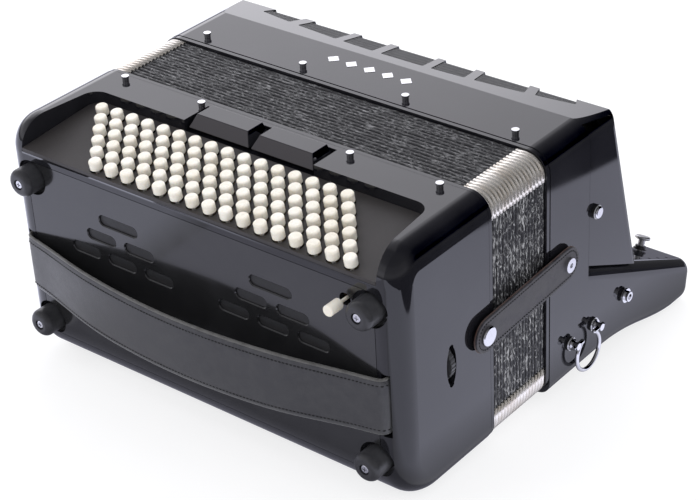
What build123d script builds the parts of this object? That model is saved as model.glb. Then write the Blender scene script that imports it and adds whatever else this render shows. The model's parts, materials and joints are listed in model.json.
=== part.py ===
"""Piano accordion lying on its back, with its bellows closed.

X runs along the instrument, +X at the chin end. Y is the bellows axis, from the bass side (-Y) to
the keyboard (+Y). Z is up, out of the instrument's front. The origin is the middle of the treble
casing's flat back face. Lengths are in millimetres.
"""

import math
import os

from build123d import *

os.makedirs("parts", exist_ok=True)

# ---------------------------------------------------------------------------------------------
# Driving dimensions
# ---------------------------------------------------------------------------------------------
body_length = 398.0
body_depth = 226.0
wall = 4.5
corner_radius = 19.0

# Stations along the bellows axis
bass_face = -221.5
bass_seam = -110.0
treble_seam = -28.0
crease = 27.0
keyboard_front = 202.0

# Bass end
bass_end_wall = 12.0
bass_front_radius = 27.0
bass_back_radius = 43.7
strip_edge = -143.0
board_slope = 9.15
board_thickness = 3.0
button_pitch = 17.0
button_row_step = 11.68
button_stagger = 9.6
button_columns = 16
button_rows = 6
button_diameter = 10.4
button_height = 9.0
button_travel = 4.0
first_button_x = -150.1
plate_half_width = 177.0
plate_bottom = 30.0
plate_top = 194.0
plate_thickness = 5.0
seam_gap = 0.5
foot_x = 172.7
foot_low = 44.8
foot_high = 179.0
foot_radius = 12.0
foot_end = -236.8
foot_pocket_depth = 8.0
air_button_spot = (151.0, 180.0)

# Bellows
frame_thickness = 4.5
frame_inset = 0.4
fold_count = 17
fold_depth = 24.0
fold_inset = 1.4
guard_thickness = 0.6
guard_leg = 9.0

# Keyboard, in its own sloping plane
key_slope = 25.64
cheek_plane_z = 94.0
key_drop = 10.0
low_cheek = 16.0
chin_cheek = 44.0
white_key_count = 20
key_thickness = 12.0
key_clearance = 7.0
key_gap = 0.9
key_front = 182.0
white_head = 48.0
black_key_start = 84.0
black_key_width = 9.6
black_key_rise = 9.0
key_axle_y = 20.0
key_axle_z = 82.0
key_axle_radius = 1.6

# Straps and hardware
strap_screw = (-10.0, 119.0)
strap_snap = (-121.0, 113.0)
strap_width = 30.0
strap_lift = 3.2
strap_thickness = 2.6
pin_stand = 4.6
pin_radius = 1.3
bass_pin_x = (76.1, 160.8)
treble_pin_x = (53.3, 159.8)
bass_pin_y = -118.0
treble_pin_y = -18.3
ring_posts_y = (1.0, 36.0)
ring_post_z = 36.0
parking_stud = (83.0, 40.0)
wheel_centre = (183.5, -160.0, 105.0)
wheel_radius = 17.5
wheel_thickness = 5.0

# Worked out from the above
half_length = body_length / 2
mid_depth = body_depth / 2
keys_left = -half_length + low_cheek
keys_right = half_length - chin_cheek
white_pitch = (keys_right - keys_left) / white_key_count
slope_tangent = math.tan(math.radians(key_slope))
bellows_start = bass_seam + frame_thickness
bellows_end = treble_seam - frame_thickness
fold_pitch = (bellows_end - bellows_start) / fold_count

# The button board: local X along the rows, local Y towards the bellows, local Z out of the board
board_plane = Plane(origin=(0, -156.6, 214.4), x_dir=(1, 0, 0), z_dir=(0, 0, 1)).rotated((board_slope, 0, 0))

# The top of the white keys: local X along the keyboard, local Y from the grille to the key fronts
key_plane = Plane(
    origin=(0, 32.0, cheek_plane_z - key_drop), x_dir=(1, 0, 0), z_dir=(0, 0, 1)
).rotated((-key_slope, 0, 0))


def save(piece, name):
    """Label a finished piece and write it to its own STEP file."""
    piece.label = name
    export_step(piece, f"parts/{name}.step")


def across(y):
    """The plane square to the bellows axis at station y, facing the bass end."""
    return Plane.XZ.offset(-y)


def end_plane(x):
    """The plane square to the length at x: local X is the bellows axis and local Y is up."""
    return Plane(origin=(x, 0, 0), x_dir=(0, 1, 0), z_dir=(1, 0, 0))


# ---------------------------------------------------------------------------------------------
# Bass casing
# ---------------------------------------------------------------------------------------------
def bass_envelope():
    """The casing's outside: a side outline with large front and back corners, rounded at both ends."""
    with BuildPart() as envelope:
        with BuildSketch(end_plane(-half_length)):
            with BuildLine():
                Polyline(
                    (bass_face, bass_back_radius),
                    (bass_face, body_depth - bass_front_radius),
                )
                RadiusArc(
                    (bass_face, body_depth - bass_front_radius),
                    (bass_face + bass_front_radius, body_depth),
                    bass_front_radius,
                )
                Polyline(
                    (bass_face + bass_front_radius, body_depth),
                    (bass_seam, body_depth),
                    (bass_seam, 0),
                    (bass_face + bass_back_radius, 0),
                )
                RadiusArc(
                    (bass_face + bass_back_radius, 0),
                    (bass_face, bass_back_radius),
                    bass_back_radius,
                )
            make_face()
        extrude(amount=body_length)
        rims = envelope.faces().filter_by(Axis.X).edges()
        fillet(rims.filter_by(lambda e: e.center().Y < bass_seam - 1), radius=corner_radius)
    return envelope.part


def recess_block(outer_edge, gap):
    """The space above the button board's underside, as far as outer_edge, less a gap all round."""
    recess_side = 171.0
    recess_splay = 9.0
    inner = strip_edge - gap
    side = recess_side - gap
    outer_side = side + recess_splay * (strip_edge - outer_edge) / (strip_edge - bass_face)
    with BuildPart() as block:
        with BuildSketch(Plane.XY.offset(body_depth + 20)) as plan:
            with BuildLine():
                Polyline(
                    (-side, inner),
                    (side, inner),
                    (outer_side, outer_edge),
                    (-outer_side, outer_edge),
                    close=True,
                )
            make_face()
            fillet(plan.vertices().group_by(Axis.Y)[-1], radius=14 - gap)
        extrude(amount=-60)
        split(bisect_by=board_plane.offset(-board_thickness), keep=Keep.TOP)
    return block.part


def plate_prism(grow):
    """The bass plate's outline through the outer wall, grown by a gap."""
    with BuildPart() as prism:
        with BuildSketch(across(bass_face + plate_thickness)):
            with Locations((0, (plate_bottom + plate_top) / 2)):
                RectangleRounded(
                    2 * plate_half_width + 2 * grow,
                    plate_top - plate_bottom + 2 * grow,
                    9,
                )
        extrude(amount=plate_thickness + 5)
    return prism.part


def foot_pockets():
    """Round pockets that the four feet stand in."""
    with BuildPart() as pockets:
        with BuildSketch(across(bass_face + foot_pocket_depth)):
            with Locations(*foot_spots()):
                Circle(foot_radius + 3.5)
        extrude(amount=foot_pocket_depth + 5)
    return pockets.part


def foot_spots():
    """Foot centres as (x, z)."""
    return [(x, z) for x in (-foot_x, foot_x) for z in (foot_low, foot_high)]


def pin_spots(stations, y):
    """Bellows pin places as (x, y)."""
    return [(side * x, y) for x in stations for side in (-1, 1)]


def pin_bores(spots):
    """Bores through the front and back walls for the bellows pins."""
    with BuildPart() as bores:
        for start in (-1, body_depth - 14):
            with BuildSketch(Plane.XY.offset(start)):
                with Locations(*spots):
                    Circle(pin_radius + 0.05)
            extrude(amount=15)
    return bores.part


bass_outside = bass_envelope()
register_span = (-72.5, 60.5)
register_floor = 215.0
strap_slot_x = 184.5

with BuildPart() as bass_cavity:
    with BuildSketch(across(bass_seam + 1)):
        with Locations((0, mid_depth)):
            RectangleRounded(body_length - 2 * wall, body_depth - 2 * wall, corner_radius - wall)
    extrude(amount=bass_seam + 1 - bass_face - bass_end_wall)
    # Wood left under the button board, under the register tabs and along the curved back
    with BuildSketch(end_plane(-half_length)):
        with BuildLine():
            Polyline(
                (strip_edge + wall, body_depth + 1),
                (strip_edge + wall, 203),
                (bass_face, 190),
                (bass_face, body_depth + 1),
                close=True,
            )
        make_face()
        with BuildLine():
            Polyline(
                (bass_face, 0),
                (bass_face + bass_back_radius, 0),
                (bass_face, bass_back_radius),
                close=True,
            )
        make_face()
    extrude(amount=body_length, mode=Mode.SUBTRACT)
    with BuildSketch(Plane.XY.offset(register_floor - wall)):
        with Locations((-6, (bass_seam + strip_edge) / 2)):
            Rectangle(144, 40)
    extrude(amount=30, mode=Mode.SUBTRACT)

with BuildPart() as bass_casing:
    add(bass_outside)
    add(bass_cavity.part, mode=Mode.SUBTRACT)
    add(recess_block(bass_face - 5, 0), mode=Mode.SUBTRACT)
    add(plate_prism(seam_gap), mode=Mode.SUBTRACT)
    add(foot_pockets(), mode=Mode.SUBTRACT)
    add(pin_bores(pin_spots(bass_pin_x, bass_pin_y)), mode=Mode.SUBTRACT)
    # Opening under the button board for the button stems
    with BuildSketch(board_plane.offset(5)):
        with Locations((1.5, -27.2)):
            Rectangle(324, 68)
    extrude(amount=-20, mode=Mode.SUBTRACT)
    # Opening behind the bass plate
    with BuildSketch(across(bass_face + plate_thickness)):
        with Locations((0, (plate_bottom + plate_top) / 2)):
            RectangleRounded(2 * foot_x - 40, plate_top - plate_bottom - 26, 6)
    extrude(amount=-bass_end_wall, mode=Mode.SUBTRACT)
    # Hole for the air button's pin
    with BuildSketch(across(bass_face)):
        with Locations(air_button_spot):
            Circle(2.5)
    extrude(amount=-bass_end_wall - 2, mode=Mode.SUBTRACT)
    # Notch in the front strip for the two register tabs
    with BuildSketch(Plane.XY.offset(register_floor)):
        with Locations((sum(register_span) / 2, -129.5)):
            Rectangle(register_span[1] - register_span[0], 30)
    extrude(amount=30, mode=Mode.SUBTRACT)
    # Slots where the hand strap's ends pass into the casing
    with BuildSketch(across(bass_face + 40)):
        with Locations((-strap_slot_x, 98), (strap_slot_x, 98)):
            Rectangle(7, 56)
    extrude(amount=50, mode=Mode.SUBTRACT)
    # Slot for the rim of the strap adjuster wheel
    with BuildSketch(end_plane(half_length - 2 * wall - 1)):
        with Locations((wheel_centre[1], wheel_centre[2])):
            SlotOverall(38, 5.5, rotation=90)
            Ellipse(6, 17.6)
    extrude(amount=20, mode=Mode.SUBTRACT)
save(bass_casing.part, "bass_casing")


# ---------------------------------------------------------------------------------------------
# Button board and buttons
# ---------------------------------------------------------------------------------------------
def button_spots(row):
    """Button centres of one row, in the board's plane."""
    left = first_button_x + row * button_stagger
    return [(left + i * button_pitch, -row * button_row_step) for i in range(button_columns)]


stem_radius = 1.6

with BuildPart() as button_board:
    add(recess_block(bass_face + 0.3, 0.3))
    split(bisect_by=board_plane, keep=Keep.BOTTOM)
    with BuildSketch(board_plane):
        for row in range(button_rows):
            with Locations(*button_spots(row)):
                Circle(button_diameter / 2 + 0.4)
    extrude(amount=-10, mode=Mode.SUBTRACT)
save(button_board.part, "button_board")

button_lift = 1.1
stem_length = 10.0
for row in range(button_rows):
    with BuildPart() as buttons:
        with BuildSketch(board_plane.offset(button_lift)):
            with Locations(*button_spots(row)):
                Circle(button_diameter / 2)
        extrude(amount=button_height - button_lift)
        along_normal = Axis(board_plane.origin, board_plane.z_dir)
        fillet(buttons.edges().filter_by(GeomType.CIRCLE).group_by(along_normal)[-1], radius=1.5)
        fillet(buttons.edges().filter_by(GeomType.CIRCLE).group_by(along_normal)[0], radius=0.5)
        with BuildSketch(board_plane.offset(button_lift + 0.2)):
            with Locations(*button_spots(row)):
                Circle(stem_radius)
        extrude(amount=-stem_length)
    save(buttons.part, f"button_row_{row + 1}")


# ---------------------------------------------------------------------------------------------
# Bass plate with its sound slots, screens, feet and air button
# ---------------------------------------------------------------------------------------------
slot_height = 9.0
screen_spots = ((-78.5, 147.0), (78.5, 147.0))
screen_size = (134.0, 56.0)
screen_depth = 1.6
slot_rows = (
    (164.0, 41.0, (0.0,)),
    (147.0, 31.0, (-20.5, 20.5)),
    (130.0, 30.0, (-39.5, 0.0, 39.5)),
)

with BuildPart() as bass_plate:
    add(plate_prism(0))
    add(bass_outside, mode=Mode.INTERSECT)
    add(foot_pockets(), mode=Mode.SUBTRACT)
    with BuildSketch(across(bass_face + plate_thickness + 1)):
        for group_x in (-78.5, 78.5):
            for z, length, shifts in slot_rows:
                with Locations(*[(group_x + shift, z) for shift in shifts]):
                    SlotOverall(length, slot_height)
        with Locations(air_button_spot):
            Circle(5.2)
    extrude(amount=plate_thickness + 6, mode=Mode.SUBTRACT)
    # Pockets in the plate's back for the screens
    with BuildSketch(across(bass_face + plate_thickness + 1)):
        with Locations(*screen_spots):
            Rectangle(screen_size[0] + 1, screen_size[1] + 1)
    extrude(amount=plate_thickness + 1 - screen_depth, mode=Mode.SUBTRACT)
    outer_face = bass_plate.faces().filter_by(Axis.Y).sort_by(Axis.Y)[0]
    slots = outer_face.inner_wires().filter_by(lambda w: w.center().Z < 170).edges()
    chamfer(slots.filter_by(lambda e: 120 < e.center().Z < 172), length=0.8)
save(bass_plate.part, "bass_plate")

with BuildPart() as plate_screens:
    with BuildSketch(across(bass_face + screen_depth + 0.9)):
        with Locations(*screen_spots):
            Rectangle(*screen_size)
    extrude(amount=0.8)
save(plate_screens.part, "plate_screens")

foot_base = bass_face + foot_pocket_depth
foot_length = foot_base - foot_end
with BuildPart() as feet:
    with BuildSketch(across(foot_base - 0.2)):
        with Locations(*foot_spots()):
            Circle(foot_radius)
    extrude(amount=foot_length - 0.2)
    fillet(feet.edges().filter_by(GeomType.CIRCLE).group_by(Axis.Y)[0], radius=5.5)
    with BuildSketch(across(foot_end)):
        with Locations(*foot_spots()):
            Circle(4.4)
    extrude(amount=-3.4, mode=Mode.SUBTRACT)
    with BuildSketch(across(foot_end)):
        with Locations(*foot_spots()):
            Circle(2.2)
    extrude(amount=-foot_length, mode=Mode.SUBTRACT)
save(feet.part, "bass_feet")

screw_sink = 3.3
with BuildPart() as foot_screws:
    with BuildSketch(across(foot_end + screw_sink)):
        with Locations(*foot_spots()):
            Circle(3.9)
    extrude(amount=2.6)
    fillet(foot_screws.edges().filter_by(GeomType.CIRCLE).group_by(Axis.Y)[0], radius=1.2)
    with BuildSketch(across(foot_end + screw_sink)):
        with Locations(*foot_spots()):
            Circle(1.9)
    extrude(amount=-foot_length + 5)
    with BuildSketch(across(foot_end + screw_sink - 2.6)):
        for spot in foot_spots():
            with Locations(spot):
                Rectangle(4.2, 0.9)
                Rectangle(0.9, 4.2)
    extrude(amount=-1.4, mode=Mode.SUBTRACT)
save(foot_screws.part, "foot_screws")

air_travel = 5.0
with BuildPart() as air_button:
    with BuildSketch(across(bass_face - air_travel - 1.5)):
        with Locations(air_button_spot):
            Circle(4.6)
    extrude(amount=14)
    fillet(air_button.edges().filter_by(GeomType.CIRCLE), radius=1.4)
    with BuildSketch(across(bass_face - air_travel - 2)):
        with Locations(air_button_spot):
            Circle(1.4)
    extrude(amount=-36)
save(air_button.part, "air_button")

# ---------------------------------------------------------------------------------------------
# Bass register tabs
# ---------------------------------------------------------------------------------------------
tab_length = 64.0
tab_depth = 26.0
tab_base_z = 218.6
tab_top_z = 230.0
tab_y = -128.5
tab_pivot = (-117.0, 218.0)
for number, tab_x in ((1, -38.6), (2, 26.6)):
    with BuildPart() as tab:
        with BuildSketch(Plane.XY.offset(tab_base_z)):
            with Locations((tab_x, tab_y)):
                Rectangle(tab_length, tab_depth)
        with BuildSketch(Plane.XY.offset(tab_top_z)):
            with Locations((tab_x, tab_y + 2.5)):
                Rectangle(tab_length - 11, tab_depth - 8)
        loft()
        fillet(tab.edges(), radius=0.8)
        # Round pivot the tab rocks on, under its bellows-side edge
        with BuildSketch(end_plane(tab_x - 30)):
            with Locations((tab_pivot[0], tab_pivot[1])):
                Circle(1.3)
        extrude(amount=60)
    save(tab.part, f"bass_register_{number}")


# ---------------------------------------------------------------------------------------------
# Bellows frames, gaskets, folds and corner guards
# ---------------------------------------------------------------------------------------------
def ring(y, thickness, inset, depth):
    """A rounded rectangular ring round the bellows axis, from station y towards the bass end."""
    with BuildPart() as hoop:
        with BuildSketch(across(y)):
            with Locations((0, mid_depth)):
                RectangleRounded(
                    body_length - 2 * inset, body_depth - 2 * inset, corner_radius - inset
                )
                RectangleRounded(
                    body_length - 2 * inset - 2 * depth,
                    body_depth - 2 * inset - 2 * depth,
                    6,
                    mode=Mode.SUBTRACT,
                )
        extrude(amount=thickness)
    return hoop.part


gasket = 0.8
frame_depth = 16.0
save(ring(bass_seam + frame_thickness, frame_thickness - gasket, frame_inset, frame_depth), "bass_bellows_frame")
save(ring(bass_seam + gasket - 0.05, gasket - 0.1, 3.0, 8.0), "bass_gasket")
save(ring(treble_seam - gasket, frame_thickness - gasket, frame_inset, frame_depth), "treble_bellows_frame")
save(ring(treble_seam - 0.05, gasket - 0.1, 3.0, 8.0), "treble_gasket")
save(ring(bellows_end - 0.2, bellows_end - bellows_start - 0.4, fold_inset + 0.9, fold_depth), "bellows_folds")

with BuildPart() as corner_guards:
    guard_width = fold_pitch - 0.5
    reach = corner_radius + guard_leg
    for fold in range(fold_count):
        y = bellows_end - fold * fold_pitch - 0.25
        with BuildSketch(across(y)):
            with Locations((0, mid_depth)):
                RectangleRounded(
                    body_length - 2 * fold_inset,
                    body_depth - 2 * fold_inset,
                    corner_radius - fold_inset,
                )
                RectangleRounded(
                    body_length - 2 * fold_inset - 2 * guard_thickness,
                    body_depth - 2 * fold_inset - 2 * guard_thickness,
                    corner_radius - fold_inset - guard_thickness,
                    mode=Mode.SUBTRACT,
                )
                Rectangle(body_length - 2 * reach, body_depth + 10, mode=Mode.SUBTRACT)
                Rectangle(body_length + 10, body_depth - 2 * reach, mode=Mode.SUBTRACT)
        extrude(amount=guard_width)
save(corner_guards.part, "bellows_corner_guards")


def bellows_pins(spots):
    """Mushroom-headed pins through the front and back of a casing."""
    with BuildPart() as pins:
        for plane in (Plane.XY.offset(body_depth), Plane.XY.rotated((180, 0, 0))):
            flip = 1 if plane.z_dir.Z > 0 else -1
            places = [(x, flip * y) for x, y in spots]
            with BuildSketch(plane.offset(-wall - 5)):
                with Locations(*places):
                    Circle(pin_radius)
            extrude(amount=wall + 5 + pin_stand - 1)
            # The front pins have a fluted neck under the flat head
            if flip == 1:
                with BuildSketch(plane.offset(0.05)):
                    with Locations(*places):
                        Circle(2.7)
                    for x, y in places:
                        with Locations((x, y)):
                            with PolarLocations(2.8, 8):
                                Circle(0.45, mode=Mode.SUBTRACT)
                extrude(amount=pin_stand - 1)
            with BuildSketch(plane.offset(pin_stand - 1.3)):
                with Locations(*places):
                    Circle(3.2)
            extrude(amount=1.3)
    return pins.part


bass_pins = bellows_pins(pin_spots(bass_pin_x, bass_pin_y))
treble_pins = bellows_pins(pin_spots(treble_pin_x, treble_pin_y))
save(bass_pins, "bass_bellows_pins")
save(treble_pins, "treble_bellows_pins")

# ---------------------------------------------------------------------------------------------
# Bass inside: soundboard and reed blocks
# ---------------------------------------------------------------------------------------------
block_heights = (70.0, 113.0, 156.0)
block_size = (300.0, 24.0)


def soundboard(y, thickness, top):
    """A wooden board across a casing, with a row of wind holes over each reed block."""
    with BuildPart() as board:
        with BuildSketch(across(y)):
            with Locations((0, (top + wall) / 2)):
                RectangleRounded(body_length - 2 * wall - 1, top - wall - 1, 13)
            for height in block_heights:
                with Locations((0, height)):
                    with GridLocations(14.6, 12, white_key_count, 2):
                        Rectangle(7, 6, mode=Mode.SUBTRACT)
        extrude(amount=thickness)
    return board.part


def reed_blocks(y, length):
    """Wooden reed blocks standing on a soundboard, from station y towards the bass end."""
    with BuildPart() as blocks:
        with BuildSketch(across(y)):
            for height in block_heights:
                with Locations((0, height)):
                    Rectangle(*block_size)
        extrude(amount=length)
        with BuildSketch(across(y)):
            for height in block_heights:
                with Locations((0, height)):
                    with GridLocations(14.6, 12, white_key_count, 2):
                        Rectangle(7, 6)
        extrude(amount=length - 5, mode=Mode.SUBTRACT)
    return blocks.part


def reed_plates(y, length):
    """Metal reed plates on both long sides of every reed block."""
    with BuildPart() as plates:
        for height in block_heights:
            for side in (-1, 1):
                with BuildSketch(across(y)):
                    with Locations((0, height + side * (block_size[1] / 2 + 0.8))):
                        with GridLocations(14.6, 0, white_key_count, 1):
                            Rectangle(12.6, 1.4)
                extrude(amount=length)
    return plates.part


save(soundboard(-124.0, 6.0, 209.0), "bass_soundboard")
save(reed_blocks(-82.0, 41.9), "bass_reed_blocks")

# ---------------------------------------------------------------------------------------------
# Hand strap and its adjuster
# ---------------------------------------------------------------------------------------------
strap_leather = 3.0
strap_bend = bass_face - 2.6
strap_crest = bass_face - 28.5
with BuildPart() as hand_strap:
    with BuildSketch(Plane.XY.offset(73)):
        with BuildLine():
            FilletPolyline(
                (-strap_slot_x, -203),
                (-strap_slot_x, strap_bend),
                (-100, strap_crest + 6),
                (0, strap_crest),
                (100, strap_crest + 6),
                (strap_slot_x, strap_bend),
                (strap_slot_x, -203),
                radius=6,
            )
        trace(line_width=strap_leather)
    extrude(amount=50)
save(hand_strap.part, "hand_strap")

wheel_x, wheel_y, wheel_z = wheel_centre
with BuildPart() as adjuster_wheel:
    with BuildSketch(across(wheel_y + wheel_thickness / 2)):
        with Locations((wheel_x, wheel_z)):
            Circle(wheel_radius)
            with PolarLocations(wheel_radius + 0.6, 30):
                Circle(1.2, mode=Mode.SUBTRACT)
            Circle(2.56, mode=Mode.SUBTRACT)
    extrude(amount=wheel_thickness)
save(adjuster_wheel.part, "adjuster_wheel")

with BuildPart() as adjuster_screw:
    with BuildSketch(across(-132)):
        with Locations((wheel_x, wheel_z)):
            Circle(2.5)
    extrude(amount=-132 + 202)
    with BuildSketch(across(-198)):
        with Locations((wheel_x, wheel_z)):
            Rectangle(5, 40)
    extrude(amount=5)
save(adjuster_screw.part, "adjuster_screw")

# ---------------------------------------------------------------------------------------------
# Treble casing
# ---------------------------------------------------------------------------------------------
back_corner_radius = 15.0
tip_top = (202.0, cheek_plane_z - slope_tangent * 170.0)
tip_bottom = (197.0, -22.0)
bed_drop = key_thickness + key_clearance
crease_y = crease + 1.0
axle_bracket = 4.0
lug_x = (182.0, half_length - 3.3)
grille_screw_spot = (36.0, 144.0)
switch_x = 164.0
dimple_row = (1.5, 130.0, 16.5)
switch_along = (163 - 32) / math.cos(math.radians(key_slope))


def on_slope(y, drop):
    """Height at station y of the plane that lies `drop` below the tops of the white keys."""
    return cheek_plane_z - slope_tangent * (y - 32.0) - (key_drop + drop / math.cos(math.radians(key_slope)))


with BuildPart() as keyboard_wing:
    with BuildSketch(end_plane(-half_length)) as wing_outline:
        with BuildLine():
            Line((treble_seam, 0), (50, 0))
            Spline((50, 0), (112, -9), (168, -21.5), tangents=((1, 0), (1, -0.1)))
            Polyline(
                (168, -21.5),
                tip_bottom,
                tip_top,
                (treble_seam, cheek_plane_z - slope_tangent * (treble_seam - 32.0)),
                (treble_seam, 0),
            )
        make_face()
        tip = wing_outline.vertices().filter_by(lambda v: v.Y > 190 or v.X > 190)
        fillet(tip, radius=13)
    extrude(amount=body_length)
    ends = keyboard_wing.faces().filter_by(Axis.X).edges()
    fillet(ends.filter_by(lambda e: e.center().Y > treble_seam + 1), radius=12)

with BuildPart() as treble_box:
    with BuildSketch(across(crease_y)) as section:
        with Locations((0, mid_depth)):
            Rectangle(body_length, body_depth)
        fillet(section.vertices().group_by(Axis.Y)[-1], radius=corner_radius)
        fillet(section.vertices().group_by(Axis.Y)[0], radius=12)
    extrude(amount=crease_y - treble_seam)

with BuildPart() as treble_casing:
    add(treble_box.part)
    add(keyboard_wing.part)
    # Main cavity, open at the bellows
    with BuildSketch(across(crease_y - wall)):
        with Locations((0, mid_depth)):
            RectangleRounded(body_length - 2 * wall, body_depth - 2 * wall, corner_radius - wall)
    extrude(amount=crease_y - wall - treble_seam + 1, mode=Mode.SUBTRACT)
    # Hollow under the key bed
    with BuildSketch(end_plane(keys_left)):
        with BuildLine():
            Polyline(
                (20, 5),
                (60, 5),
                (112, -3),
                (112, on_slope(112, bed_drop + 5)),
                (20, on_slope(20, bed_drop + 5)),
                close=True,
            )
        make_face()
    extrude(amount=-2 * keys_left, mode=Mode.SUBTRACT)
    # Key bed between the cheeks, open at the front and into the casing
    with BuildSketch(end_plane(keys_left)):
        with BuildLine():
            Polyline(
                (10, on_slope(10, bed_drop)),
                (215, on_slope(215, bed_drop)),
                (215, 125),
                (10, 125),
                close=True,
            )
        make_face()
    extrude(amount=keys_right - keys_left, mode=Mode.SUBTRACT)
    # Opening behind the grille
    with BuildSketch(across(crease_y + 1)):
        with Locations((0, 156)):
            Rectangle(340, 112)
    extrude(amount=8, mode=Mode.SUBTRACT)
    # Brackets that hold the key axle
    for x in (keys_left - axle_bracket, keys_right):
        with BuildSketch(end_plane(x)):
            with Locations((17, key_axle_z)):
                Rectangle(16, 20)
        extrude(amount=axle_bracket)
    with BuildSketch(end_plane(keys_left - 3)):
        with Locations((key_axle_y, key_axle_z)):
            Circle(key_axle_radius + 0.02)
    extrude(amount=keys_right - keys_left + 6, mode=Mode.SUBTRACT)
    # Lugs that the grille's end screws reach
    for side in (-1, 1):
        with BuildSketch(end_plane(side * lug_x[0])):
            with Locations((32, grille_screw_spot[1])):
                Rectangle(24, 20)
        extrude(amount=side * (lug_x[1] - lug_x[0]))
    with BuildSketch(end_plane(-half_length)):
        with Locations(grille_screw_spot):
            Circle(2.05)
    extrude(amount=body_length, mode=Mode.SUBTRACT)
    # Bore for the palm switch, square to the cheek
    with BuildSketch(key_plane.offset(30)):
        with Locations((switch_x, switch_along)):
            Circle(3.1)
    extrude(amount=-50, mode=Mode.SUBTRACT)
    add(pin_bores(pin_spots(treble_pin_x, treble_pin_y)), mode=Mode.SUBTRACT)
    # Row of four small dimples along the chin cheek
    with BuildSketch(key_plane.offset(key_drop)):
        with Locations((186.5, dimple_row[1])):
            with GridLocations(0, dimple_row[2], 1, 4):
                Circle(dimple_row[0])
    extrude(amount=-1.2, mode=Mode.SUBTRACT)
    # Shallow pockets for the ornament on the front
    with BuildSketch(Plane.XY.offset(body_depth)):
        with Locations((-4, 8)):
            with GridLocations(19, 0, 5, 1):
                RegularPolygon(6.1, 4, rotation=0)
    extrude(amount=-0.6, mode=Mode.SUBTRACT)
save(treble_casing.part, "treble_casing")

with BuildPart() as emblem:
    with BuildSketch(Plane.XY.offset(body_depth - 0.55)):
        with Locations((-4, 8)):
            with GridLocations(19, 0, 5, 1):
                RegularPolygon(6.0, 4, rotation=0)
    extrude(amount=0.85)
save(emblem.part, "emblem")

# ---------------------------------------------------------------------------------------------
# Grille: a cover over the pallets, with seven windows and a mesh behind them
# ---------------------------------------------------------------------------------------------
grille_top = (65.0, 221.3)
grille_foot = (105.5, 59.3)
grille_back = (crease_y + 0.2, 96.4)
grille_ridge = 8.0
shell = 3.0
window_spans = (
    (-160, -125),
    (-114, -68.5),
    (-60, -27),
    (-18, 26),
    (34, 67),
    (76, 122.5),
    (132, 167.5),
)


def window_edge(x):
    """Station of the curved inner edge of the windows."""
    return 40.5 + 14.3 * (x / 165) ** 2


def grille_profile(inset):
    """The grille's side outline run on past its back and foot, moved inwards by inset."""
    with BuildSketch() as profile:
        with BuildLine():
            Polyline(
                (2 * crease_y - grille_top[0], 2 * body_depth - grille_top[1]),
                grille_top,
                (1.2 * grille_foot[0] - 0.2 * grille_top[0], 1.2 * grille_foot[1] - 0.2 * grille_top[1]),
                (2 * crease_y - grille_top[0], 1.2 * grille_foot[1] - 0.2 * grille_top[1]),
                close=True,
            )
        make_face()
        fillet(profile.vertices().filter_by(lambda v: v.X > 50 and v.Y > 200), radius=grille_ridge)
        if inset:
            offset(amount=-inset, mode=Mode.REPLACE)
    return profile.sketch


with BuildPart() as grille_cover:
    with BuildSketch(end_plane(-half_length)) as grille_outline:
        with BuildLine():
            Polyline(
                (crease_y + 0.2, body_depth - 0.1), grille_top, grille_foot, grille_back, close=True
            )
        make_face()
        fillet(grille_outline.vertices().filter_by(lambda v: v.Y > 50 and v.Z > 200), radius=grille_ridge)
    extrude(amount=body_length)
    slope_edges = grille_cover.faces().filter_by(Axis.X).edges()
    fillet(slope_edges.filter_by(lambda e: e.center().Y > 75 and e.center().Z > 100), radius=7)
    with BuildSketch(across(120)) as section:
        with Locations((0, mid_depth)):
            RectangleRounded(body_length, body_depth + 60, corner_radius)
        with Locations((0, body_depth / 2 - 30)):
            RectangleRounded(body_length, body_depth + 60, corner_radius, mode=Mode.INTERSECT)
    extrude(amount=110, mode=Mode.INTERSECT)
    with BuildSketch(end_plane(-half_length + shell)):
        add(grille_profile(shell))
    extrude(amount=body_length - 2 * shell, mode=Mode.SUBTRACT)

# The grille's keyboard-facing slope: local X along the grille, local Y down the slope
slope_normal = (0, grille_top[1] - grille_foot[1], grille_foot[0] - grille_top[0])
register_height = 159.6
register_y = grille_foot[0] - slope_normal[2] * (register_height - grille_foot[1]) / slope_normal[1]
slope_plane = Plane(origin=(0, register_y, register_height), x_dir=(1, 0, 0), z_dir=slope_normal)
register_count = 5
register_pitch = 27.0
register_size = (24.0, 14.0, 5.0)
register_gap = 2.0


def window_openings(gap):
    """The seven openings along the grille's front edge, less a gap all round."""
    with BuildPart() as windows:
        for left, right in window_spans:
            left, right = left + gap, right - gap
            with BuildSketch(Plane.XY.offset(body_depth + 4)) as window:
                with BuildLine():
                    Spline(
                        (left, window_edge(left) + gap),
                        ((left + right) / 2, window_edge((left + right) / 2) + gap),
                        (right, window_edge(right) + gap),
                    )
                    Polyline(
                        (right, window_edge(right) + gap),
                        (0.92 * right, 78),
                        (0.92 * left, 78),
                        (left, window_edge(left) + gap),
                    )
                make_face()
                fillet(window.vertices(), radius=1.6)
            extrude(amount=-52 + gap)
    return windows.part


with BuildPart() as grille:
    add(grille_cover.part)
    add(window_openings(0), mode=Mode.SUBTRACT)
    with BuildSketch(end_plane(-half_length - 1)):
        with Locations(grille_screw_spot):
            Circle(2.1)
    extrude(amount=body_length + 2, mode=Mode.SUBTRACT)
    with BuildSketch(slope_plane.offset(3)):
        Rectangle(register_count * register_pitch - 6, 9)
    extrude(amount=-9, mode=Mode.SUBTRACT)
save(grille.part, "grille_cover")

mesh_depth = 0.5
with BuildPart() as mesh_layer:
    with BuildSketch(end_plane(-half_length + wall)):
        add(grille_profile(mesh_depth))
        add(grille_profile(mesh_depth + 1), mode=Mode.SUBTRACT)
    extrude(amount=body_length - 2 * wall)

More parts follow.
